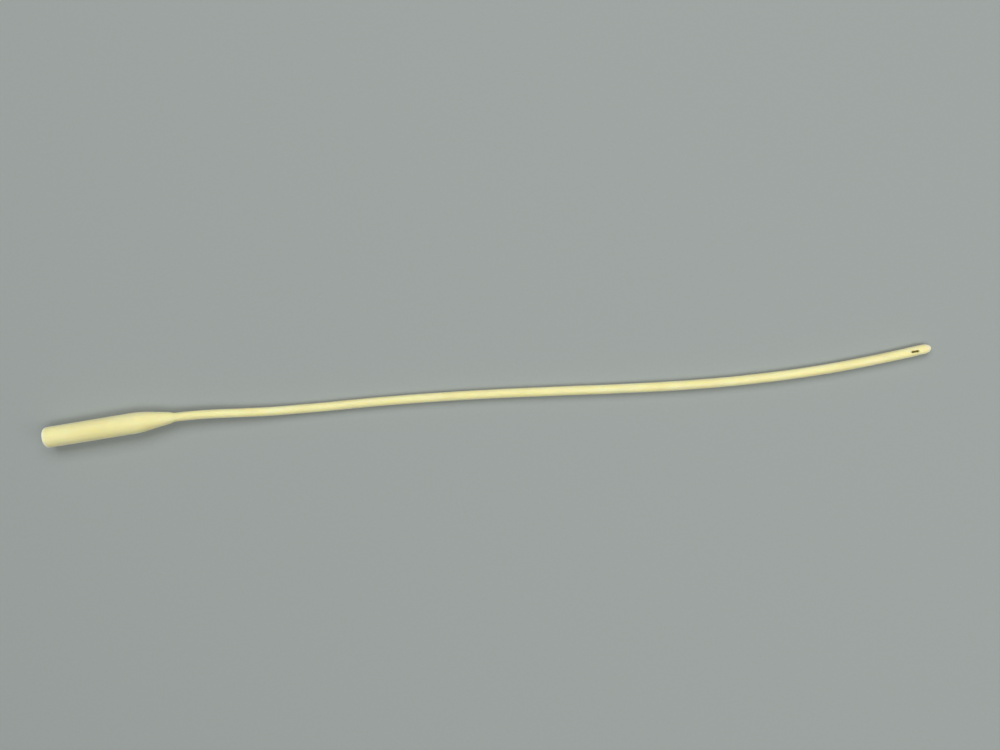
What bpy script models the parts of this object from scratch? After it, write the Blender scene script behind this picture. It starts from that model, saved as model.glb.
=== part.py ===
"""One-way urinary catheter, moulded in one piece from natural rubber latex.

An open funnel takes the connector of a drainage bag. A cone and a neck lead from it into a slender
shaft with one lumen, which ends in a closed rounded tip with one punched eye.

The catheter is turned straight along +X with its mouth at x = 0, then laid along its route on a
flat surface at z = 0. The origin is the bottom centre of the whole catheter as it lies.
"""

import math

import bmesh
import bpy
from mathutils import Matrix, Vector

MM = 0.001

# Overall length, from the mouth's end face to the end of the tip
OVERALL_LENGTH = 400.0 * MM

# Funnel, the wide end that a drainage bag's connector is pushed into
MOUTH_OUTER_D = 9.3 * MM
SHOULDER_OUTER_D = 9.5 * MM
FUNNEL_WALL = 0.9 * MM
FUNNEL_LENGTH = 42.0 * MM
SHOULDER_REACH = 3.0 * MM
LIP_ROUND_LENGTH = 0.35 * MM
LIP_ROUND_DEPTH = 0.2 * MM

# Cone, whose foot narrows faster into the neck, where the shaft starts
CONE_LENGTH = 15.8 * MM
FOOT_LENGTH = 2.4 * MM
FOOT_OUTER_D = 5.4 * MM
NECK_OUTER_D = 3.92 * MM
NECK_REACH = 1.0 * MM

# Shaft, which the dipping leaves a little thicker from its middle to the tip, and its lumen
SHAFT_OUTER_D = 4.05 * MM
TIP_OUTER_D = 4.42 * MM
THICKER_FROM = 200.0 * MM
LUMEN_D = 2.6 * MM

# Closed tip
NOSE_LENGTH = 3.4 * MM
SOLID_TIP = 6.0 * MM
LUMEN_END_ROUND = 2.0 * MM

# Eye, an oval hole punched through one wall, turned from straight up towards -Y and a little
# askew to the tube
EYE_FROM_TIP = 8.1 * MM
EYE_LENGTH = 3.6 * MM
EYE_WIDTH = 1.0 * MM
EYE_TURN = math.radians(2.0)
EYE_ASKEW = math.radians(-7.0)
EYE_CUT_ABOVE = 1.0 * MM

# The shaft comes down from the funnel's height to the surface over this length past the neck
SAG_LENGTH = 80.0 * MM

# How the catheter lies, seen from above: points of its centre line, in millimetres, from the
# middle of the mouth, with the funnel along +X
ROUTE = [
    (0.0, 0.0),
    (20.0, 0.0),
    (40.0, 0.0),
    (52.0, -0.1),
    (62.0, -0.5),
    (74.0, -1.5),
    (87.0, -3.1),
    (100.0, -4.6),
    (113.0, -5.7),
    (126.0, -6.7),
    (140.0, -7.6),
    (156.0, -8.8),
    (176.0, -10.6),
    (200.0, -13.1),
    (230.0, -16.7),
    (260.0, -20.4),
    (290.0, -23.6),
    (318.0, -25.6),
    (344.0, -26.4),
    (368.0, -26.1),
    (386.0, -25.3),
    (394.0, -24.8),
    (402.0, -24.5),
]

# Fineness of the turned shape and of the route
SIDES = 20
RING_STEP = 8.0 * MM
ROUND_STEPS = 4
NOSE_STEPS = 5
EYE_SIDES = 16
ROUTE_RESOLUTION = 16
POLE_MERGE = 1e-6

LATEX_COLOUR = "E9DF9F"
LATEX_ROUGHNESS = 0.5
SMOOTH_UP_TO = math.radians(50.0)

NECK_AT = FUNNEL_LENGTH + CONE_LENGTH


def linear_colour(hex_code):
    """Turn an sRGB hex code into the linear RGBA that a shader takes."""
    channels = [int(hex_code[i : i + 2], 16) / 255 for i in (0, 2, 4)]
    linear = [c / 12.92 if c <= 0.04045 else ((c + 0.055) / 1.055) ** 2.4 for c in channels]
    return (*linear, 1.0)


def rounded_corner(before, corner, after, reach):
    """Replace a corner by a smooth curve that starts and ends `reach` away from it."""
    start = corner + (before - corner).normalized() * reach
    end = corner + (after - corner).normalized() * reach
    curve = []
    for i in range(ROUND_STEPS + 1):
        t = i / ROUND_STEPS
        curve.append(start.lerp(corner, t).lerp(corner.lerp(end, t), t))
    return curve


def quarter_round(centre, along, across, steps):
    """Quarter of an ellipse, from `across` off its centre to `along` in front of it.

    Either half size is negative for a curve on the other side of the centre.
    """
    turns = [math.pi / 2 * i / steps for i in range(steps + 1)]
    return [centre + Vector((along * math.sin(a), across * math.cos(a))) for a in turns]


def with_rings(outline):
    """Put rings into the long straight runs of an outline, so that it can bend there."""
    filled = [outline[0]]
    for start, end in zip(outline, outline[1:]):
        pieces = max(1, math.ceil((end - start).length / RING_STEP))
        filled += [start.lerp(end, i / pieces) for i in range(1, pieces + 1)]
    return filled


def outer_outline():
    """Outer surface as (station, radius) points, from the mouth's lip to the end of the tip."""
    shoulder = Vector((FUNNEL_LENGTH, SHOULDER_OUTER_D / 2))
    foot = Vector((NECK_AT - FOOT_LENGTH, FOOT_OUTER_D / 2))
    neck = Vector((NECK_AT, NECK_OUTER_D / 2))
    middle = Vector((THICKER_FROM, SHAFT_OUTER_D / 2))
    nose_centre = Vector((OVERALL_LENGTH - NOSE_LENGTH, 0.0))
    nose = quarter_round(nose_centre, NOSE_LENGTH, TIP_OUTER_D / 2, NOSE_STEPS)

    lip_centre = Vector((LIP_ROUND_LENGTH, MOUTH_OUTER_D / 2 - LIP_ROUND_DEPTH))
    lip = quarter_round(lip_centre, -LIP_ROUND_LENGTH, LIP_ROUND_DEPTH, ROUND_STEPS)[::-1]
    shoulder_curve = rounded_corner(lip[-1], shoulder, foot, SHOULDER_REACH)
    foot_curve = rounded_corner(shoulder, foot, neck, NECK_REACH)
    neck_curve = rounded_corner(foot, neck, middle, NECK_REACH)
    return with_rings(lip + shoulder_curve + foot_curve + neck_curve + [middle] + nose)


def inner_outline():
    """Inner surface as (station, radius) points, from the mouth's lip to the lumen's end."""
    lumen_r = LUMEN_D / 2
    shoulder = Vector((FUNNEL_LENGTH, SHOULDER_OUTER_D / 2 - FUNNEL_WALL))
    neck = Vector((NECK_AT, lumen_r))
    end_centre = Vector((OVERALL_LENGTH - SOLID_TIP - LUMEN_END_ROUND, 0.0))
    end = quarter_round(end_centre, LUMEN_END_ROUND, lumen_r, ROUND_STEPS)

    lip_centre = Vector((LIP_ROUND_LENGTH, MOUTH_OUTER_D / 2 - FUNNEL_WALL + LIP_ROUND_DEPTH))
    lip = quarter_round(lip_centre, -LIP_ROUND_LENGTH, -LIP_ROUND_DEPTH, ROUND_STEPS)[::-1]
    shoulder_curve = rounded_corner(lip[-1], shoulder, neck, SHOULDER_REACH)
    neck_curve = rounded_corner(shoulder, neck, end[0], NECK_REACH)
    return with_rings(lip + shoulder_curve + neck_curve + end)


def turned_mesh(name, outline):
    """Turn an outline, whose two ends lie on the X axis, once round that axis."""
    bm = bmesh.new()
    verts = [bm.verts.new((point.x, 0.0, point.y)) for point in outline]
    edges = [bm.edges.new(pair) for pair in zip(verts, verts[1:])]
    bmesh.ops.spin(bm, geom=verts + edges, cent=(0, 0, 0), axis=(1, 0, 0),
                   angle=math.tau, steps=SIDES, use_merge=True)
    bmesh.ops.remove_doubles(bm, verts=bm.verts, dist=POLE_MERGE)
    bmesh.ops.recalc_face_normals(bm, faces=bm.faces)
    mesh = bpy.data.meshes.new(name)
    bm.to_mesh(mesh)
    bm.free()
    mesh.shade_smooth()
    mesh.set_sharp_from_angle(angle=SMOOTH_UP_TO)
    return mesh


def eye_mesh(name):
    """Upright post with an oval section, from the catheter's axis out through its wall."""
    bm = bmesh.new()
    half_step = Matrix.Rotation(math.pi / EYE_SIDES, 4, "Z")
    bmesh.ops.create_circle(bm, cap_ends=True, segments=EYE_SIDES, radius=EYE_WIDTH / 2,
                            matrix=half_step)
    half_straight = (EYE_LENGTH - EYE_WIDTH) / 2
    for vert in bm.verts:
        vert.co.x += math.copysign(half_straight, vert.co.x)
    top = bmesh.ops.extrude_face_region(bm, geom=bm.faces[:])["geom"]
    height = TIP_OUTER_D / 2 + EYE_CUT_ABOVE
    bmesh.ops.translate(bm, verts=[v for v in top if isinstance(v, bmesh.types.BMVert)],
                        vec=(0, 0, height))
    bmesh.ops.rotate(bm, cent=(0, 0, 0), matrix=Matrix.Rotation(EYE_ASKEW, 3, "Z"),
                     verts=bm.verts)
    bmesh.ops.recalc_face_normals(bm, faces=bm.faces)
    mesh = bpy.data.meshes.new(name)
    bm.to_mesh(mesh)
    bm.free()
    return mesh


def shaft_radius(station):
    """Outer radius of the shaft, past the neck."""
    thicker = (station - THICKER_FROM) / (OVERALL_LENGTH - NOSE_LENGTH - THICKER_FROM)
    share = min(max(thicker, 0.0), 1.0)
    return (SHAFT_OUTER_D + (TIP_OUTER_D - SHAFT_OUTER_D) * share) / 2


def axis_height(station):
    """Height of the centre line above the surface, at a distance along it from the mouth.

    The funnel lies level on its shoulder. The shaft sags from the neck like a beam that is
    clamped there, and lies on the surface from the end of the sag on.
    """
    lying = shaft_radius(station)
    lifted = SHOULDER_OUTER_D / 2 - lying
    left = min(max(1.0 - (station - NECK_AT) / SAG_LENGTH, 0.0), 1.0)
    return lying + lifted * (4 * left**3 - 3 * left**4)


def route_curve(name):
    """Smooth curve through the route's points, at the height that the catheter has there."""
    plan = [Vector(point) * MM for point in ROUTE]
    stations = [0.0]
    for start, end in zip(plan, plan[1:]):
        stations.append(stations[-1] + (end - start).length)

    curve = bpy.data.curves.new(name, "CURVE")
    curve.dimensions = "3D"
    curve.twist_mode = "Z_UP"
    curve.resolution_u = ROUTE_RESOLUTION
    spline = curve.splines.new("BEZIER")
    spline.bezier_points.add(len(plan) - 1)
    for bezier_point, point, station in zip(spline.bezier_points, plan, stations):
        bezier_point.co = (point.x, point.y, axis_height(station))
        bezier_point.handle_left_type = "AUTO"
        bezier_point.handle_right_type = "AUTO"
    return curve


def latex_material():
    """Natural rubber latex, pale yellow, with the soft gloss of a dipped surface."""
    material = bpy.data.materials.new("natural_latex")
    material.use_nodes = True
    shader = material.node_tree.nodes["Principled BSDF"]
    shader.inputs["Base Color"].default_value = linear_colour(LATEX_COLOUR)
    shader.inputs["Roughness"].default_value = LATEX_ROUGHNESS
    shader.inputs["Metallic"].default_value = 0.0
    material.diffuse_color = linear_colour(LATEX_COLOUR)
    return material


def add_object(name, data, parent):
    """Link an object to the scene under a parent."""
    obj = bpy.data.objects.new(name, data)
    obj.parent = parent
    bpy.context.scene.collection.objects.link(obj)
    return obj


def hide_guide(obj):
    """Show an object as a wire guide that is no part of the catheter."""
    obj.hide_render = True
    obj.display_type = "WIRE"


def origin_at_bottom_centre(carrier, tube):
    """Move the carrier so that the finished tube's bottom centre is at the world's origin."""
    depsgraph = bpy.context.evaluated_depsgraph_get()
    corners = [Vector(corner) for corner in tube.evaluated_get(depsgraph).bound_box]
    low = Vector([min(c[i] for c in corners) for i in range(3)])
    high = Vector([max(c[i] for c in corners) for i in range(3)])
    carrier.location = (-(low.x + high.x) / 2, -(low.y + high.y) / 2, -low.z)


def build_catheter():
    """Build the catheter and lay it on the surface."""
    carrier = add_object("catheter_carrier", None, None)

    outline = inner_outline()[::-1] + outer_outline()
    tube = add_object("catheter_tube", turned_mesh("catheter_tube", outline), carrier)
    tube.data.materials.append(latex_material())

    eye = add_object("eye_cutter", eye_mesh("eye_cutter"), carrier)
    eye.location = (OVERALL_LENGTH - EYE_FROM_TIP, 0.0, 0.0)
    eye.rotation_euler = (EYE_TURN, 0.0, 0.0)
    hide_guide(eye)

    route = add_object("route_guide", route_curve("route_guide"), carrier)
    hide_guide(route)

    punch = tube.modifiers.new("punched_eye", "BOOLEAN")
    punch.operation = "DIFFERENCE"
    punch.solver = "EXACT"
    punch.object = eye

    lay = tube.modifiers.new("laid_along_route", "CURVE")
    lay.object = route
    lay.deform_axis = "POS_X"

    origin_at_bottom_centre(carrier, tube)


def main():
    """Clear the scene and build the catheter in it."""
    for obj in list(bpy.data.objects):
        bpy.data.objects.remove(obj, do_unlink=True)
    build_catheter()


main()
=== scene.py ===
"""One-way urinary catheter of natural rubber latex, lying in a gentle curve on a pale sheet.

The catheter is one dip-moulded piece. An open funnel takes the connector of a drainage bag, a cone
and a neck lead from it into a slender shaft with one lumen, and the closed rounded tip has one
punched eye. The piece is turned straight along +X with its mouth at x = 0, punched there, and then
laid along its route on the sheet at z = 0.
"""

import logging
import math
from dataclasses import dataclass, field
from enum import Enum

import bmesh
import bpy
from mathutils import Matrix, Vector


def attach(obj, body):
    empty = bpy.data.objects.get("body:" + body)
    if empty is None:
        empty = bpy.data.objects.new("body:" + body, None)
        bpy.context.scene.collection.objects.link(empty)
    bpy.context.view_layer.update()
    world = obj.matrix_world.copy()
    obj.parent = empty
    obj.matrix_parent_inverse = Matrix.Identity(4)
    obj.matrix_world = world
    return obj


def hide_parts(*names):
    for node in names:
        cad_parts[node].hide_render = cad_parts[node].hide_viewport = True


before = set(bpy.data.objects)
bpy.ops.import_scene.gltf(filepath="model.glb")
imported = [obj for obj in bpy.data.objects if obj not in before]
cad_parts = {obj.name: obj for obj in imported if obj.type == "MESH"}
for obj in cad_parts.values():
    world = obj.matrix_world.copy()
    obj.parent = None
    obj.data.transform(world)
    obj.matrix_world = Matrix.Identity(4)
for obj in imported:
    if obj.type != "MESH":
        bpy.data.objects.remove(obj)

MM = 0.001
MERGE_DISTANCE = 1e-6
LATEX_IOR = 1.52

# Attribute that keeps each point's place on the straight moulding
STRAIGHT = "straight"

# Nearly all of a noise's values lie between these two
NOISE_LOW = 0.3
NOISE_HIGH = 0.7

# How many finer layers a noise has on top of its broadest one
SOFT_DETAIL = 2.0
FINE_DETAIL = 3.0

SMOOTH_STEP = {"interpolation_type": "SMOOTHSTEP"}
LOG = logging.getLogger("catheter")
Socket = bpy.types.NodeSocket


class Stiffness(Enum):
    """How easily a free tube bends under its own weight."""

    LIMP = "limp"
    MEDIUM = "medium"
    STIFF = "stiff"


class Lie(Enum):
    """How a free tube is put down."""

    LOOSE = "loose"
    COILED = "coiled"
    TAUT = "taut"


class FarEnd(Enum):
    """What a free tube ends in."""

    BARE = "bare"
    CONNECTOR = "connector"


class Ray(Enum):
    """Rays that show the backdrop's colour, by their names in the Light Path node."""

    CAMERA = "Is Camera Ray"
    GLOSSY = "Is Glossy Ray"
    TRANSMISSION = "Is Transmission Ray"


def linear(hex_code: str) -> tuple[float, float, float, float]:
    """Turn an sRGB hex code into the linear RGBA that a shader takes.

    Args:
        hex_code: Six hex digits, such as "F1E9AA".

    Returns:
        The linear colour with an alpha of 1.
    """
    channels = [int(hex_code[i : i + 2], 16) / 255 for i in (0, 2, 4)]
    red, green, blue = [c / 12.92 if c <= 0.04045 else ((c + 0.055) / 1.055) ** 2.4 for c in channels]
    return (red, green, blue, 1.0)


def per_mm(size_mm: float) -> float:
    """Scale of a pattern that repeats every `size_mm` where coordinates are in metres."""
    return 1.0 / (size_mm * MM)


def add_node(
    tree: bpy.types.NodeTree,
    kind: str,
    settings: dict[str, object] | None = None,
    inputs: dict[str, object] | None = None,
) -> bpy.types.Node:
    """Add a node, set its own settings, and fill or link its inputs.

    Args:
        tree: The node tree that the node goes into.
        kind: Blender's type name of the node.
        settings: The node's own properties, by name.
        inputs: Values, or the sockets that feed them, by the input's identifier.

    Returns:
        The new node.
    """
    node = tree.nodes.new(kind)
    for name, value in (settings or {}).items():
        setattr(node, name, value)
    for identifier, value in (inputs or {}).items():
        socket = next(s for s in node.inputs if s.identifier == identifier)
        if isinstance(value, Socket):
            tree.links.new(value, socket)
        else:
            socket.default_value = value
    return node


def empty_material(name: str, shown_hex: str) -> bpy.types.Material:
    """Make a material without nodes in it.

    Args:
        name: The material's name.
        shown_hex: Its colour where nodes aren't drawn.

    Returns:
        The new material.
    """
    material = bpy.data.materials.new(name)
    material.use_nodes = True
    material.node_tree.nodes.clear()
    material.diffuse_color = linear(shown_hex)
    return material


def straight_place(tree: bpy.types.NodeTree) -> Socket:
    """Add the node that reads the place on the straight moulding, and return its socket."""
    return add_node(tree, "ShaderNodeAttribute", {"attribute_name": STRAIGHT}).outputs["Vector"]


def seeing_rays(tree: bpy.types.NodeTree) -> Socket:
    """Add nodes that tell the rays that show the backdrop's colour from those that carry light.

    Args:
        tree: The node tree of the sheet or of the world.

    Returns:
        The socket that gives 1 for camera, glossy and transmission rays, and 0 for the rest.
    """
    rays = add_node(tree, "ShaderNodeLightPath").outputs
    seen = rays[Ray.CAMERA.value]
    for ray in (Ray.GLOSSY, Ray.TRANSMISSION):
        seen = add_node(tree, "ShaderNodeMath", {"operation": "MAXIMUM"},
                        {"Value": seen, "Value_001": rays[ray.value]}).outputs["Value"]
    return seen


def add_object(name: str, data: bpy.types.ID) -> bpy.types.Object:
    """Link an object to the scene.

    Args:
        name: The object's name.
        data: Its mesh, curve, camera or light.

    Returns:
        The new object, at the origin.
    """
    obj = bpy.data.objects.new(name, data)
    bpy.context.scene.collection.objects.link(obj)
    return obj


def mesh_from(bm: bmesh.types.BMesh, name: str) -> bpy.types.Mesh:
    """Turn a finished bmesh into a mesh and free it.

    Args:
        bm: The finished bmesh.
        name: The mesh's name.

    Returns:
        The new mesh, with its faces in the same order each run.
    """
    # A spin leaves its faces in an order that changes from run to run
    bm.verts.index_update()
    ordered = sorted(bm.faces, key=lambda face: sorted(vert.index for vert in face.verts))
    for index, face in enumerate(ordered):
        face.index = index
    bm.faces.sort()
    mesh = bpy.data.meshes.new(name)
    bm.to_mesh(mesh)
    bm.free()
    return mesh


def apply_modifiers(obj: bpy.types.Object) -> None:
    """Bake an object's modifiers into its mesh.

    Args:
        obj: The object, which keeps its name and its materials.
    """
    depsgraph = bpy.context.evaluated_depsgraph_get()
    worked = bpy.data.meshes.new_from_object(
        obj.evaluated_get(depsgraph), preserve_all_data_layers=True, depsgraph=depsgraph
    )
    raw = obj.data
    obj.modifiers.clear()
    obj.data = worked
    bpy.data.meshes.remove(raw)
    worked.name = obj.name


class WallOutline:
    """Half section of the wall, drawn as one wire in the XZ plane, from the axis back to the axis.

    x is the distance from the mouth's end face, and z the distance from the catheter's own axis.
    """

    def __init__(self, x: float, radius: float) -> None:
        """Start the wire.

        Args:
            x: Distance from the mouth.
            radius: Distance from the axis.
        """
        self.bm = bmesh.new()
        self.last = self.bm.verts.new((x, 0.0, radius))
        self.corners: list[tuple[bmesh.types.BMVert, float]] = []

    def line_to(self, x: float, radius: float, rounding: float = 0.0) -> None:
        """Draw a straight run.

        Args:
            x: Where the run ends, as a distance from the mouth.
            radius: Where it ends, as a distance from the axis.
            rounding: How far from that corner its rounding starts, or 0 for a sharp corner.
        """
        vert = self.bm.verts.new((x, 0.0, radius))
        self.bm.edges.new((self.last, vert))
        if rounding > 0.0:
            self.corners.append((vert, rounding))
        self.last = vert

    def arc(
        self, centre: tuple[float, float], turn: float, stretch: tuple[float, float], steps: int
    ) -> None:
        """Draw part of an ellipse from where the wire has got to.

        Args:
            centre: The ellipse's centre, as a distance from the mouth and one from the axis.
            turn: Angle about +Y that it goes through, in radians.
            stretch: How much the circle about that centre is stretched along x and along z.
            steps: How many edges it gets.
        """
        middle = Vector((centre[0], 0.0, centre[1]))
        drawn = set(self.bm.verts)
        spun = bmesh.ops.spin(self.bm, geom=[self.last], cent=middle, axis=(0, 1, 0),
                              angle=turn, steps=steps)
        new = [vert for vert in self.bm.verts if vert not in drawn]
        bmesh.ops.scale(self.bm, vec=(stretch[0], 1.0, stretch[1]),
                        space=Matrix.Translation(-middle), verts=new)
        self.last = spun["geom_last"][0]

    def round_corners(self, segments: int) -> None:
        """Round the corners that asked for it.

        Args:
            segments: How many edges each rounding gets.
        """
        for vert, reach in self.corners:
            bmesh.ops.bevel(self.bm, geom=[vert], offset=reach, segments=segments, profile=0.5,
                            affect="VERTICES", material=-1)
        self.corners.clear()

    def add_rings(self, step: float, fine_step: float, fine_from: float) -> None:
        """Cut the long runs, so that the wall can bend there and take the eye.

        Args:
            step: Longest run left along the catheter.
            fine_step: Longest run left near the tip.
            fine_from: Distance from the mouth at which the tip's finer rings start.
        """
        for edge in list(self.bm.edges):
            near_tip = min(vert.co.x for vert in edge.verts) >= fine_from
            cuts = math.ceil(edge.calc_length() / (fine_step if near_tip else step)) - 1
            if cuts > 0:
                bmesh.ops.subdivide_edges(self.bm, edges=[edge], cuts=cuts)

    def turned(self, name: str, sides: int) -> bpy.types.Mesh:
        """Turn the wire once round the catheter's axis.

        Args:
            name: The mesh's name.
            sides: How many faces go round.

        Returns:
            The closed wall, straight along +X.
        """
        bmesh.ops.spin(self.bm, geom=self.bm.verts[:] + self.bm.edges[:], cent=(0, 0, 0),
                       axis=(1, 0, 0), angle=math.tau, steps=sides, use_merge=True)
        bmesh.ops.remove_doubles(self.bm, verts=self.bm.verts, dist=MERGE_DISTANCE)
        bmesh.ops.recalc_face_normals(self.bm, faces=self.bm.faces)
        return mesh_from(self.bm, name)


@dataclass
class Shaft:
    """Slender shaft, which the dipping leaves a little thicker from its middle to the tip."""

    neck_d: float = 3.92 * MM
    outer_d: float = 4.05 * MM
    tip_d: float = 4.42 * MM
    thicker_from: float = 200.0 * MM
    lumen_d: float = 2.6 * MM

    def radius(self, station: float, nose_at: float) -> float:
        """Outer radius past the neck.

        Args:
            station: Distance from the mouth.
            nose_at: Distance from the mouth at which the tip's nose starts.

        Returns:
            The radius there.
        """
        thicker = (station - self.thicker_from) / (nose_at - self.thicker_from)
        share = min(max(thicker, 0.0), 1.0)
        return (self.outer_d + (self.tip_d - self.outer_d) * share) / 2


@dataclass
class Funnel:
    """Open funnel and the cone behind it, which end in the neck."""

    mouth_d: float = 9.3 * MM
    shoulder_d: float = 9.5 * MM
    wall: float = 0.9 * MM
    length: float = 42.0 * MM
    shoulder_reach: float = 3.0 * MM
    lip_length: float = 0.35 * MM
    lip_depth: float = 0.2 * MM
    cone_length: float = 15.8 * MM
    foot_length: float = 2.4 * MM
    foot_d: float = 5.4 * MM
    neck_reach: float = 1.0 * MM

    @property
    def neck_at(self) -> float:
        """Distance from the mouth to the neck."""
        return self.length + self.cone_length

    def draw(self, outline: WallOutline, shaft: Shaft, steps: int) -> None:
        """Draw the inner wall from the neck to the lip, and the outer wall back to the neck.

        Args:
            outline: The wire, which has got to the lumen.
            shaft: The shaft that the neck leads into.
            steps: How many edges each of the lip's roundings gets.
        """
        inner_mouth = self.mouth_d / 2 - self.wall
        outer_mouth = self.mouth_d / 2
        across = self.lip_length / self.lip_depth
        outline.line_to(self.neck_at, shaft.lumen_d / 2, self.neck_reach)
        outline.line_to(self.length, self.shoulder_d / 2 - self.wall, self.shoulder_reach)
        outline.line_to(self.lip_length, inner_mouth)
        outline.arc((self.lip_length, inner_mouth + self.lip_depth), math.pi / 2,
                    (across, 1.0), steps)
        outline.line_to(0.0, outer_mouth - self.lip_depth)
        outline.arc((self.lip_length, outer_mouth - self.lip_depth), math.pi / 2,
                    (1.0, 1.0 / across), steps)
        outline.line_to(self.length, self.shoulder_d / 2, self.shoulder_reach)
        outline.line_to(self.neck_at - self.foot_length, self.foot_d / 2, self.neck_reach)
        outline.line_to(self.neck_at, shaft.neck_d / 2, self.neck_reach)


@dataclass
class ClosedTip:
    """Solid rounded nose past the end of the lumen."""

    nose_length: float = 3.4 * MM
    solid_length: float = 6.0 * MM
    lumen_end_round: float = 2.0 * MM


@dataclass
class Eye:
    """Oval hole punched through one wall near the tip, with a burnished rim."""

    from_tip: float = 8.1 * MM
    length: float = 3.6 * MM
    width: float = 1.0 * MM
    rim_round: float = 0.14 * MM
    lean: float = math.radians(2.0)
    askew: float = math.radians(-7.0)
    above: float = 0.6 * MM
    flare: float = 1.2
    sides: int = 48
    rim_steps: int = 4

    def rim_levels(self) -> list[tuple[float, float]]:
        """Work out how the punch widens through the rim, and once more above the wall.

        Returns:
            For each ring, its distance outwards from the hole's side and its height above the wall.
        """
        turns = [math.pi / 2 * i / self.rim_steps for i in range(self.rim_steps + 1)]
        levels = [(self.rim_round * (1 - math.cos(a)), -self.rim_round * (1 - math.sin(a)))
                  for a in turns]
        return levels + [(self.rim_round * self.flare, self.above)]

    def punch(self, wall_radius: float, station: float) -> bpy.types.Mesh:
        """Make the punch, whose section widens where it leaves the wall, as the rim does.

        Args:
            wall_radius: Outer radius of the wall that is punched.
            station: Distance from the mouth to the middle of the eye.

        Returns:
            The punch, a little askew to the tube and leaning from straight up towards -Y, from
            the lumen out through the wall.
        """
        # A circle turned by half a side has no point in its middle, so it parts into two ends
        bm = bmesh.new()
        bmesh.ops.create_circle(bm, cap_ends=False, segments=self.sides, radius=self.width / 2,
                                matrix=Matrix.Rotation(math.pi / self.sides, 4, "Z"))
        straight = (self.length - self.width) / 2
        for vert in bm.verts:
            vert.co.x += math.copysign(straight, vert.co.x)

        ring = bm.edges[:]
        skewed = Matrix.Rotation(self.askew, 3, "Z")
        for outwards, height in self.rim_levels():
            grown = bmesh.ops.extrude_edge_only(bm, edges=ring)["geom"]
            ring = [item for item in grown if isinstance(item, bmesh.types.BMEdge)]
            for vert in (item for item in grown if isinstance(item, bmesh.types.BMVert)):
                spine = Vector((math.copysign(straight, vert.co.x), 0.0, 0.0))
                side = Vector((vert.co.x - spine.x, vert.co.y, 0.0)).normalized()
                edge = spine + side * (self.width / 2 + outwards)
                surface = math.sqrt(wall_radius**2 - (skewed @ edge).y ** 2)
                vert.co = (edge.x, edge.y, surface + height)
        bmesh.ops.holes_fill(bm, edges=bm.edges)
        bmesh.ops.recalc_face_normals(bm, faces=bm.faces)
        leaning = Matrix.Rotation(self.lean, 3, "X") @ skewed
        bmesh.ops.rotate(bm, cent=(0, 0, 0), matrix=leaning, verts=bm.verts)
        bmesh.ops.translate(bm, vec=(station, 0, 0), verts=bm.verts)
        return mesh_from(bm, "eye_punch")


@dataclass
class Route:
    """How the catheter lies on the sheet.

    The plan is its centre line seen from above, in metres from the middle of the mouth.
    """

    mouth_at: tuple[float, float] = (-0.199292, 0.011921)
    sag_length: float = 80.0 * MM
    resolution: int = 16
    plan: tuple[tuple[float, float], ...] = (
        (0.0, 0.0),
        (0.020, 0.0),
        (0.040, 0.0),
        (0.052, -0.0001),
        (0.062, -0.0005),
        (0.074, -0.0015),
        (0.087, -0.0031),
        (0.100, -0.0046),
        (0.113, -0.0057),
        (0.126, -0.0067),
        (0.140, -0.0076),
        (0.156, -0.0088),
        (0.176, -0.0106),
        (0.200, -0.0131),
        (0.230, -0.0167),
        (0.260, -0.0204),
        (0.290, -0.0236),
        (0.318, -0.0256),
        (0.344, -0.0264),
        (0.368, -0.0261),
        (0.386, -0.0253),
        (0.394, -0.0248),
        (0.402, -0.0245),
    )

    def guide(self, heights: list[float]) -> bpy.types.Object:
        """Make the smooth curve that the straight catheter is laid along.

        Args:
            heights: Height of the centre line above the sheet, for each point of the plan.

        Returns:
            The curve's object, with the middle of the mouth above the origin.
        """
        curve = bpy.data.curves.new("route_guide", "CURVE")
        curve.dimensions = "3D"
        curve.twist_mode = "Z_UP"
        curve.resolution_u = self.resolution
        spline = curve.splines.new("BEZIER")
        spline.bezier_points.add(len(self.plan) - 1)
        for bezier_point, point, height in zip(spline.bezier_points, self.plan, heights):
            bezier_point.co = (point[0], point[1], height)
            bezier_point.handle_left_type = "AUTO"
            bezier_point.handle_right_type = "AUTO"
        return add_object("route_guide", curve)

    def stations(self) -> list[float]:
        """Measure along the plan.

        Returns:
            The distance of each of the plan's points from the mouth.
        """
        distances = [0.0]
        for start, end in zip(self.plan, self.plan[1:]):
            distances.append(distances[-1] + math.dist(start, end))
        return distances

    def lay(self, obj: bpy.types.Object, guide: bpy.types.Object) -> None:
        """Lay a straight mesh along the route, and move it to its place in the row frame.

        Args:
            obj: The object, straight along +X with the mouth at x = 0.
            guide: The curve that guide() made.
        """
        laid = obj.modifiers.new("laid_along_route", "CURVE")
        laid.object = guide
        laid.deform_axis = "POS_X"
        apply_modifiers(obj)
        obj.data.transform(Matrix.Translation((*self.mouth_at, 0.0)))


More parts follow.
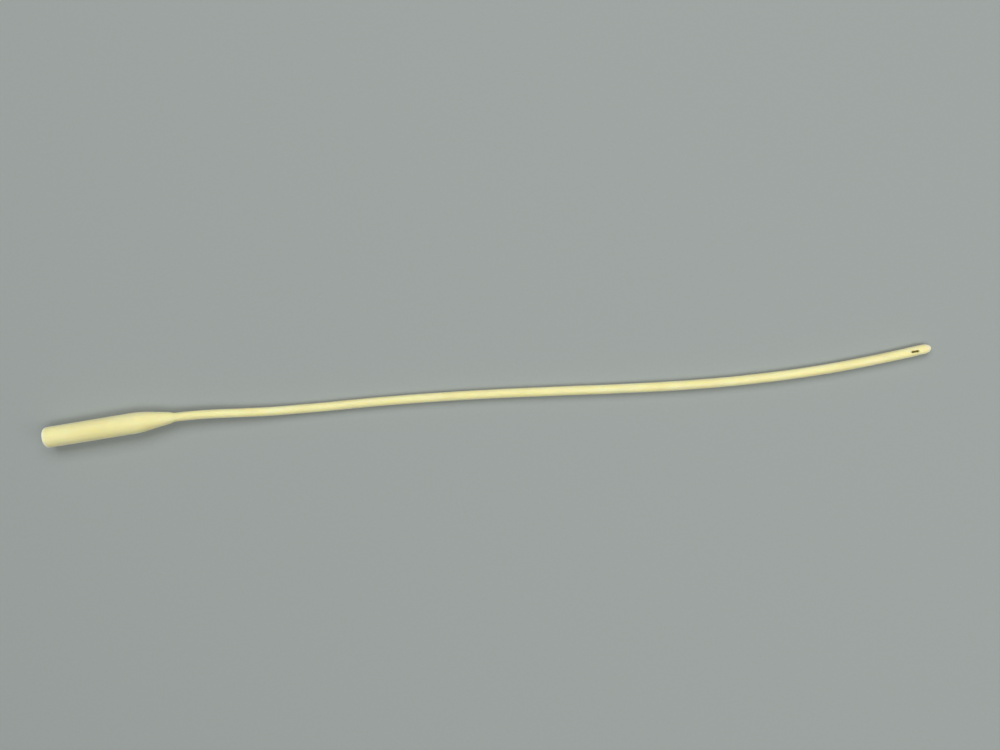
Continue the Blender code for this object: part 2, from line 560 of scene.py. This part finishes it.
@dataclass(frozen=True)
class DippedLatex:
    """Natural rubber latex, dip-moulded and washed: the catheter's own skin.

    The eye sees a soft, almost matte butter yellow that lets a little light in, so its edges glow
    instead of turning hard. The tone drifts slowly where the dip ran thicker or thinner, and a bloom
    of powder dulls the gloss in patches. The solid nose is a little paler and also carries a painted
    highlight, and the trimmed lip's pale band is a painted highlight where its rounded edge catches
    the light.
    """

    name: str = "natural_latex_dip_moulded"
    butter: str = "F1E9AA"
    deeper: str = "EDE29E"
    # Pale colour of the runs and the nose, and also a painted highlight on the trimmed lip and the
    # nose
    cream_and_highlight: str = "F4EFCC"
    drift_mm: float = 16.0
    run_length_mm: float = 30.0
    run_width_mm: float = 1.2
    run_height_mm: float = 0.08
    streak_from: float = 0.45
    streak_full: float = 0.7
    streak_share: float = 0.3
    # Span of the painted highlight on the trimmed lip, where its rounded edge catches the light
    lip_highlight_from_mm: float = 1.6
    lip_highlight_to_mm: float = 0.4
    # Span of the nose's paler latex and its painted highlight, where the rounded end catches the
    # light
    nose_pale_and_highlight_from_mm: float = 396.5
    nose_pale_and_highlight_to_mm: float = 400.0
    grain_mm: float = 0.7
    grain_height_mm: float = 0.04
    bloom_mm: float = 4.0
    roughness_low: float = 0.46
    roughness_high: float = 0.6
    specular: float = 0.4
    light_let_in: float = 0.5
    light_reach_mm: tuple[float, float, float] = (1.3, 0.9, 0.35)
    powder: float = 0.5
    powder_roughness: float = 0.5

    def material(self) -> bpy.types.Material:
        """Make the material.

        Returns:
            The material, which reads the place on the straight moulding.
        """
        material = empty_material(self.name, self.butter)
        tree = material.node_tree
        place = straight_place(tree)
        runs = self.drawn_runs(tree, place)
        shader = add_node(tree, "ShaderNodeBsdfPrincipled", {"subsurface_method": "RANDOM_WALK"},
                          {"Base Color": self.colour(tree, place, runs),
                           "Roughness": self.roughness(tree, place),
                           "Normal": self.relief(tree, place, runs)})
        shader.inputs["IOR"].default_value = LATEX_IOR
        shader.inputs["Specular IOR Level"].default_value = self.specular
        shader.inputs["Subsurface Weight"].default_value = self.light_let_in
        shader.inputs["Subsurface Radius"].default_value = self.light_reach_mm
        shader.inputs["Subsurface Scale"].default_value = MM
        shader.inputs["Sheen Weight"].default_value = self.powder
        shader.inputs["Sheen Roughness"].default_value = self.powder_roughness
        add_node(tree, "ShaderNodeOutputMaterial", inputs={"Surface": shader.outputs["BSDF"]})
        return material

    def drawn_runs(self, tree: bpy.types.NodeTree, place: Socket) -> Socket:
        """Add the runs that the drawing out of the dip leaves along the tube.

        Args:
            tree: The material's node tree.
            place: The place on the straight moulding.

        Returns:
            The socket of the runs' noise.
        """
        along = add_node(tree, "ShaderNodeVectorMath", {"operation": "MULTIPLY"},
                         {"Vector": place, "Vector_001": (per_mm(self.run_length_mm),
                                                          per_mm(self.run_width_mm),
                                                          per_mm(self.run_width_mm))})
        noise = add_node(tree, "ShaderNodeTexNoise",
                         inputs={"Vector": along.outputs["Vector"], "Scale": 1.0,
                                 "Detail": SOFT_DETAIL})
        return noise.outputs["Fac"]

    def colour(self, tree: bpy.types.NodeTree, place: Socket, runs: Socket) -> Socket:
        """Add the tone, which drifts slowly where the dip ran thicker or thinner, pale it, and paint
        highlights on the lip and the nose.

        Args:
            tree: The material's node tree.
            place: The place on the straight moulding.
            runs: The runs' noise.

        Returns:
            The socket of the colour.
        """
        drift = add_node(tree, "ShaderNodeTexNoise",
                         inputs={"Vector": place, "Scale": per_mm(self.drift_mm),
                                 "Detail": SOFT_DETAIL})
        drift_share = add_node(tree, "ShaderNodeMapRange", SMOOTH_STEP,
                               {"Value": drift.outputs["Fac"], "From Min": NOISE_LOW,
                                "From Max": NOISE_HIGH})
        tone = add_node(tree, "ShaderNodeMix", {"data_type": "RGBA"},
                        {"Factor_Float": drift_share.outputs["Result"],
                         "A_Color": linear(self.butter), "B_Color": linear(self.deeper)})
        # Mixes in the pale colour, which holds the painted highlights at the lip and the nose
        paled_and_highlighted = add_node(tree, "ShaderNodeMix", {"data_type": "RGBA"},
                         {"Factor_Float": self.paleness_and_highlights(tree, place, runs),
                          "A_Color": tone.outputs["Result"], "B_Color": linear(self.cream_and_highlight)})
        return paled_and_highlighted.outputs["Result"]

    def paleness_and_highlights(self, tree: bpy.types.NodeTree, place: Socket, runs: Socket) -> Socket:
        """Add the pale colour's share: a painted highlight wholly at the trimmed lip, paler latex
        with a painted highlight wholly at the nose, and a little on some runs.

        Args:
            tree: The material's node tree.
            place: The place on the straight moulding.
            runs: The runs' noise.

        Returns:
            The socket that gives 0 for the drifting tone and 1 for the pale colour and painted
            highlight.
        """
        station = add_node(tree, "ShaderNodeSeparateXYZ", inputs={"Vector": place}).outputs["X"]
        # Painted highlight on the trimmed lip
        lip = add_node(tree, "ShaderNodeMapRange", SMOOTH_STEP,
                       {"Value": station, "From Min": self.lip_highlight_to_mm * MM,
                        "From Max": self.lip_highlight_from_mm * MM, "To Min": 1.0, "To Max": 0.0})
        # Paler latex on the nose, with a painted highlight on its rounded end
        nose = add_node(tree, "ShaderNodeMapRange", SMOOTH_STEP,
                        {"Value": station, "From Min": self.nose_pale_and_highlight_from_mm * MM,
                         "From Max": self.nose_pale_and_highlight_to_mm * MM})
        streak = add_node(tree, "ShaderNodeMapRange", SMOOTH_STEP,
                          {"Value": runs, "From Min": self.streak_from,
                           "From Max": self.streak_full, "To Max": self.streak_share})
        ends = add_node(tree, "ShaderNodeMath", {"operation": "MAXIMUM"},
                        {"Value": lip.outputs["Result"], "Value_001": nose.outputs["Result"]})
        pale_and_highlight = add_node(tree, "ShaderNodeMath", {"operation": "MAXIMUM"},
                          {"Value": ends.outputs["Value"], "Value_001": streak.outputs["Result"]})
        return pale_and_highlight.outputs["Value"]

    def roughness(self, tree: bpy.types.NodeTree, place: Socket) -> Socket:
        """Add the roughness, which a bloom of powder raises in patches.

        Args:
            tree: The material's node tree.
            place: The place on the straight moulding.

        Returns:
            The socket of the roughness.
        """
        bloom = add_node(tree, "ShaderNodeTexNoise",
                         inputs={"Vector": place, "Scale": per_mm(self.bloom_mm),
                                 "Detail": FINE_DETAIL})
        dulled = add_node(tree, "ShaderNodeMapRange",
                          inputs={"Value": bloom.outputs["Fac"], "From Min": NOISE_LOW,
                                  "From Max": NOISE_HIGH, "To Min": self.roughness_low,
                                  "To Max": self.roughness_high})
        return dulled.outputs["Result"]

    def relief(self, tree: bpy.types.NodeTree, place: Socket, runs: Socket) -> Socket:
        """Add the runs, which stand up a little, on a fine leathery grain.

        Args:
            tree: The material's node tree.
            place: The place on the straight moulding.
            runs: The runs' noise.

        Returns:
            The socket of the bumpy normal.
        """
        # The real grain is about 0.1 mm, too fine to show, so it is drawn coarser
        grain = add_node(tree, "ShaderNodeTexNoise",
                         inputs={"Vector": place, "Scale": per_mm(self.grain_mm),
                                 "Detail": FINE_DETAIL})
        grain_height = add_node(tree, "ShaderNodeMath", {"operation": "MULTIPLY"},
                                {"Value": grain.outputs["Fac"],
                                 "Value_001": self.grain_height_mm * MM})
        height = add_node(tree, "ShaderNodeMath", {"operation": "MULTIPLY_ADD"},
                          {"Value": runs, "Value_001": self.run_height_mm * MM,
                           "Value_002": grain_height.outputs["Value"]})

        # The height is already in metres, so the bump takes it as it is
        bump = add_node(tree, "ShaderNodeBump",
                        inputs={"Strength": 1.0, "Distance": 1.0,
                                "Height": height.outputs["Value"]})
        return bump.outputs["Normal"]


@dataclass(frozen=True)
class PunchedLatex:
    """Natural rubber latex where a punch went through it.

    The eye sees a dry matte wall without the skin's gloss, finely torn and a shade paler than the
    skin.
    """

    name: str = "natural_latex_punched"
    cut: str = "F3EDBE"
    tear: str = "E9E0A2"
    tear_mm: float = 0.5
    roughness: float = 0.75
    specular: float = 0.2

    def material(self) -> bpy.types.Material:
        """Make the material.

        Returns:
            The material, which reads the place on the straight moulding.
        """
        material = empty_material(self.name, self.cut)
        tree = material.node_tree
        tears = add_node(tree, "ShaderNodeTexNoise",
                         inputs={"Vector": straight_place(tree), "Scale": per_mm(self.tear_mm),
                                 "Detail": SOFT_DETAIL})
        colour = add_node(tree, "ShaderNodeMix", {"data_type": "RGBA"},
                          {"Factor_Float": tears.outputs["Fac"],
                           "A_Color": linear(self.cut), "B_Color": linear(self.tear)})
        shader = add_node(tree, "ShaderNodeBsdfPrincipled",
                          inputs={"Base Color": colour.outputs["Result"]})
        shader.inputs["Roughness"].default_value = self.roughness
        shader.inputs["IOR"].default_value = LATEX_IOR
        shader.inputs["Specular IOR Level"].default_value = self.specular
        add_node(tree, "ShaderNodeOutputMaterial", inputs={"Surface": shader.outputs["BSDF"]})
        return material


@dataclass
class Catheter:
    """The whole catheter: one moulding, laid along its route."""

    funnel: Funnel = field(default_factory=Funnel)
    shaft: Shaft = field(default_factory=Shaft)
    tip: ClosedTip = field(default_factory=ClosedTip)
    eye: Eye = field(default_factory=Eye)
    route: Route = field(default_factory=Route)
    skin: DippedLatex = field(default_factory=DippedLatex)
    cut: PunchedLatex = field(default_factory=PunchedLatex)
    length: float = 400.0 * MM
    sides: int = 64
    ring_step: float = 1.5 * MM
    tip_ring_step: float = 0.3 * MM
    tip_rings_from: float = 386.0 * MM
    round_steps: int = 8
    nose_steps: int = 16
    line_steps: int = 160
    smooth_up_to: float = math.radians(50.0)

    @property
    def nose_at(self) -> float:
        """Distance from the mouth to the start of the nose."""
        return self.length - self.tip.nose_length

    def wall(self) -> bpy.types.Mesh:
        """Turn the straight, unpunched wall.

        Returns:
            The closed wall, with its lumen.
        """
        lumen_end = self.length - self.tip.solid_length
        lumen_round_at = lumen_end - self.tip.lumen_end_round
        lumen_radius = self.shaft.lumen_d / 2
        nose_radius = self.shaft.tip_d / 2
        fine_radius = self.shaft.radius(self.tip_rings_from, self.nose_at)

        outline = WallOutline(lumen_end, 0.0)
        outline.arc((lumen_round_at, 0.0), -math.pi / 2,
                    (1.0, lumen_radius / self.tip.lumen_end_round), self.round_steps)
        outline.line_to(self.tip_rings_from, lumen_radius)
        self.funnel.draw(outline, self.shaft, self.round_steps)
        outline.line_to(self.shaft.thicker_from, self.shaft.outer_d / 2)
        outline.line_to(self.tip_rings_from, fine_radius)
        outline.line_to(self.nose_at, nose_radius)
        outline.arc((self.nose_at, 0.0), math.pi / 2,
                    (self.tip.nose_length / nose_radius, 1.0), self.nose_steps)
        outline.round_corners(self.round_steps)
        outline.add_rings(self.ring_step, self.tip_ring_step, self.tip_rings_from)
        return outline.turned("latex_catheter", self.sides)

    def punch_eye(self, obj: bpy.types.Object) -> None:
        """Punch the eye through the straight wall.

        Args:
            obj: The straight catheter.
        """
        station = self.length - self.eye.from_tip
        radius = self.shaft.radius(station, self.nose_at)
        punch = add_object("eye_punch", self.eye.punch(radius, station))
        punch.data.materials.append(self.cut.material())
        punched = obj.modifiers.new("punched_eye", "BOOLEAN")
        punched.operation = "DIFFERENCE"
        punched.solver = "EXACT"
        punched.material_mode = "TRANSFER"
        punched.object = punch
        apply_modifiers(obj)
        bpy.data.meshes.remove(punch.data)

    def dress(self, obj: bpy.types.Object) -> None:
        """Give the straight catheter its skin, and punch the eye, which brings its own finish.

        Args:
            obj: The straight catheter.
        """
        obj.data.materials.append(self.skin.material())
        self.punch_eye(obj)

        # The patterns follow the tube, because they read its place on the straight moulding
        places = [0.0] * (3 * len(obj.data.vertices))
        obj.data.vertices.foreach_get("co", places)
        straight = obj.data.attributes.new(STRAIGHT, "FLOAT_VECTOR", "POINT")
        straight.data.foreach_set("vector", places)

    def axis_height(self, station: float) -> float:
        """Height of the centre line above the sheet.

        The funnel lies level on its shoulder. The shaft sags from the neck like a beam that is
        clamped there, and lies on the sheet from the end of the sag on.

        Args:
            station: Distance from the mouth.

        Returns:
            The height there.
        """
        lying = self.shaft.radius(station, self.nose_at)
        lifted = self.funnel.shoulder_d / 2 - lying
        left = min(max(1.0 - (station - self.funnel.neck_at) / self.route.sag_length, 0.0), 1.0)
        return lying + lifted * (4 * left**3 - 3 * left**4)

    def centre_line(self, guide: bpy.types.Object) -> list[Vector]:
        """Lay a wire along the route, for the line that the catheter follows.

        Args:
            guide: The route's curve.

        Returns:
            Points of the centre line in the row frame, from the mouth to the tip.
        """
        bm = bmesh.new()
        ends = [bm.verts.new((x, 0.0, 0.0)) for x in (0.0, self.length)]
        edge = bm.edges.new(ends)
        bmesh.ops.subdivide_edges(bm, edges=[edge], cuts=self.line_steps - 1)
        wire = add_object("centre_wire", mesh_from(bm, "centre_wire"))
        self.route.lay(wire, guide)
        points = sorted((vert.co.copy() for vert in wire.data.vertices), key=lambda p: p.x)
        bpy.data.meshes.remove(wire.data)
        return points

    def lay_down(self, obj: bpy.types.Object) -> list[Vector]:
        """Lay the catheter along its route.

        Args:
            obj: The straight catheter.

        Returns:
            Points of its centre line in the row frame, from the mouth to the tip.
        """
        guide = self.route.guide([self.axis_height(s) for s in self.route.stations()])
        self.route.lay(obj, guide)
        points = self.centre_line(guide)
        bpy.data.curves.remove(guide.data)
        return points

    def build(self) -> None:
        """Build the catheter straight, dress it, lay it down and hide the CAD tube in its stead."""
        obj = add_object("latex_catheter", self.wall())
        self.dress(obj)
        points = self.lay_down(obj)
        obj.data.shade_smooth()
        obj.data.set_sharp_from_angle(angle=self.smooth_up_to)

        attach(obj, "root")
        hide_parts("catheter_tube")
        LOG.info("latex_catheter: %d faces, %.1f mm along its centre line", len(obj.data.polygons),
                 sum((b - a).length for a, b in zip(points, points[1:])) / MM)


@dataclass(frozen=True)
class StudioSheet:
    """Plain pale grey card that the catheter lies on.

    The eye sees an even, dull surface, which runs out into the backdrop well away from the
    catheter.
    """

    name: str = "pale_grey_card"
    grey: str = "9BA19E"
    fibre: str = "979D9A"
    fibre_mm: float = 1.5
    roughness: float = 0.9
    specular: float = 0.2
    fade_from: float = 0.35
    fade_to: float = 1.35

    def material(self, backdrop: str) -> bpy.types.Material:
        """Make the material.

        Args:
            backdrop: The backdrop's colour as six hex digits.

        Returns:
            The material, which reads Object coordinates.
        """
        material = empty_material(self.name, self.grey)
        tree = material.node_tree
        place = add_node(tree, "ShaderNodeTexCoord").outputs["Object"]
        fibres = add_node(tree, "ShaderNodeTexNoise",
                          inputs={"Vector": place, "Scale": per_mm(self.fibre_mm),
                                  "Detail": SOFT_DETAIL})
        colour = add_node(tree, "ShaderNodeMix", {"data_type": "RGBA"},
                          {"Factor_Float": fibres.outputs["Fac"],
                           "A_Color": linear(self.grey), "B_Color": linear(self.fibre)})
        shader = add_node(tree, "ShaderNodeBsdfPrincipled",
                          inputs={"Base Color": colour.outputs["Result"]})
        shader.inputs["Roughness"].default_value = self.roughness
        shader.inputs["Specular IOR Level"].default_value = self.specular

        # Far from the catheter the card is shown in the backdrop's colour, without an edge
        distance = add_node(tree, "ShaderNodeVectorMath", {"operation": "LENGTH"}, {"Vector": place})
        far = add_node(tree, "ShaderNodeMapRange", SMOOTH_STEP,
                       {"Value": distance.outputs["Value"], "From Min": self.fade_from,
                        "From Max": self.fade_to})
        faded = add_node(tree, "ShaderNodeMath", {"operation": "MULTIPLY"},
                         {"Value": far.outputs["Result"], "Value_001": seeing_rays(tree)})
        plain = add_node(tree, "ShaderNodeEmission", inputs={"Color": linear(backdrop)})
        shown = add_node(tree, "ShaderNodeMixShader",
                         inputs={"Fac": faded.outputs["Value"], "Shader": shader.outputs["BSDF"],
                                 "Shader_001": plain.outputs["Emission"]})
        add_node(tree, "ShaderNodeOutputMaterial", inputs={"Surface": shown.outputs["Shader"]})
        return material


@dataclass(frozen=True)
class Softbox:
    """Large flat lamp that points at the middle of the catheter."""

    name: str
    place: tuple[float, float, float]
    width: float
    depth: float
    power: float

    def hang(self) -> None:
        """Hang the lamp."""
        lamp = bpy.data.lights.new(self.name, "AREA")
        lamp.shape = "RECTANGLE"
        lamp.size = self.width
        lamp.size_y = self.depth
        lamp.energy = self.power
        obj = add_object(self.name, lamp)
        obj.location = self.place
        obj.rotation_euler = (-Vector(self.place)).to_track_quat("-Z", "Y").to_euler()
        obj.visible_camera = False


@dataclass
class Studio:
    """The sheet, the soft light round it and the camera that looks straight down."""

    card: StudioSheet = field(default_factory=StudioSheet)
    card_size: float = 2.8
    sky: str = "FFFFFF"
    sky_strength: float = 0.03
    backdrop: str = "D4D8D6"
    camera_at: tuple[float, float, float] = (0.005588, 0.006674, 0.381186)
    camera_roll: float = math.radians(-9.327)
    camera_near: float = 10.0 * MM
    lens_mm: float = 30.24
    sensor_mm: float = 36.0
    softboxes: tuple[Softbox, ...] = (
        Softbox("back_softbox", (0.0, 0.66, 0.94), width=1.6, depth=0.7, power=10.4),
        Softbox("front_softbox", (0.15, -0.43, 1.07), width=1.2, depth=0.38, power=7.2),
        Softbox("right_softbox", (0.84, -0.4, 0.71), width=0.5, depth=0.5, power=2.0),
        Softbox("left_softbox", (-0.84, 0.0, 0.71), width=0.5, depth=0.5, power=0.6),
    )

    def lay_card(self) -> None:
        """Lay the sheet at z = 0."""
        bm = bmesh.new()
        bmesh.ops.create_grid(bm, x_segments=1, y_segments=1, size=self.card_size / 2)
        obj = add_object("studio_card", mesh_from(bm, "studio_card"))
        obj.data.materials.append(self.card.material(self.backdrop))

    def light(self) -> None:
        """Light the sheet evenly from all round, and hang the softboxes."""
        world = bpy.data.worlds.new("studio_world")
        bpy.context.scene.world = world
        world.use_nodes = True
        tree = world.node_tree
        tree.nodes.clear()
        sky = add_node(tree, "ShaderNodeBackground",
                       inputs={"Color": linear(self.sky), "Strength": self.sky_strength})
        backdrop = add_node(tree, "ShaderNodeBackground",
                            inputs={"Color": linear(self.backdrop), "Strength": 1.0})
        mixed = add_node(tree, "ShaderNodeMixShader",
                         inputs={"Fac": seeing_rays(tree), "Shader": sky.outputs["Background"],
                                 "Shader_001": backdrop.outputs["Background"]})
        add_node(tree, "ShaderNodeOutputWorld", inputs={"Surface": mixed.outputs["Shader"]})
        for softbox in self.softboxes:
            softbox.hang()

    def place_camera(self) -> None:
        """Place the scene's camera above the sheet."""
        camera = bpy.data.cameras.new("studio_camera")
        camera.lens = self.lens_mm
        camera.sensor_width = self.sensor_mm
        camera.clip_start = self.camera_near
        obj = add_object("studio_camera", camera)
        obj.location = self.camera_at
        obj.rotation_euler = (0.0, 0.0, self.camera_roll)
        bpy.context.scene.camera = obj

    def build(self) -> None:
        """Build the studio."""
        self.lay_card()
        self.light()
        self.place_camera()
        bpy.context.scene.view_settings.view_transform = "Standard"
        LOG.info("studio: sheet, %d softboxes and camera", len(self.softboxes))


def main() -> None:
    """Build the studio and the catheter."""
    logging.basicConfig(level=logging.INFO, format="%(message)s")
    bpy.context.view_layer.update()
    Studio().build()
    Catheter().build()


if __name__ == "__main__":
    main()
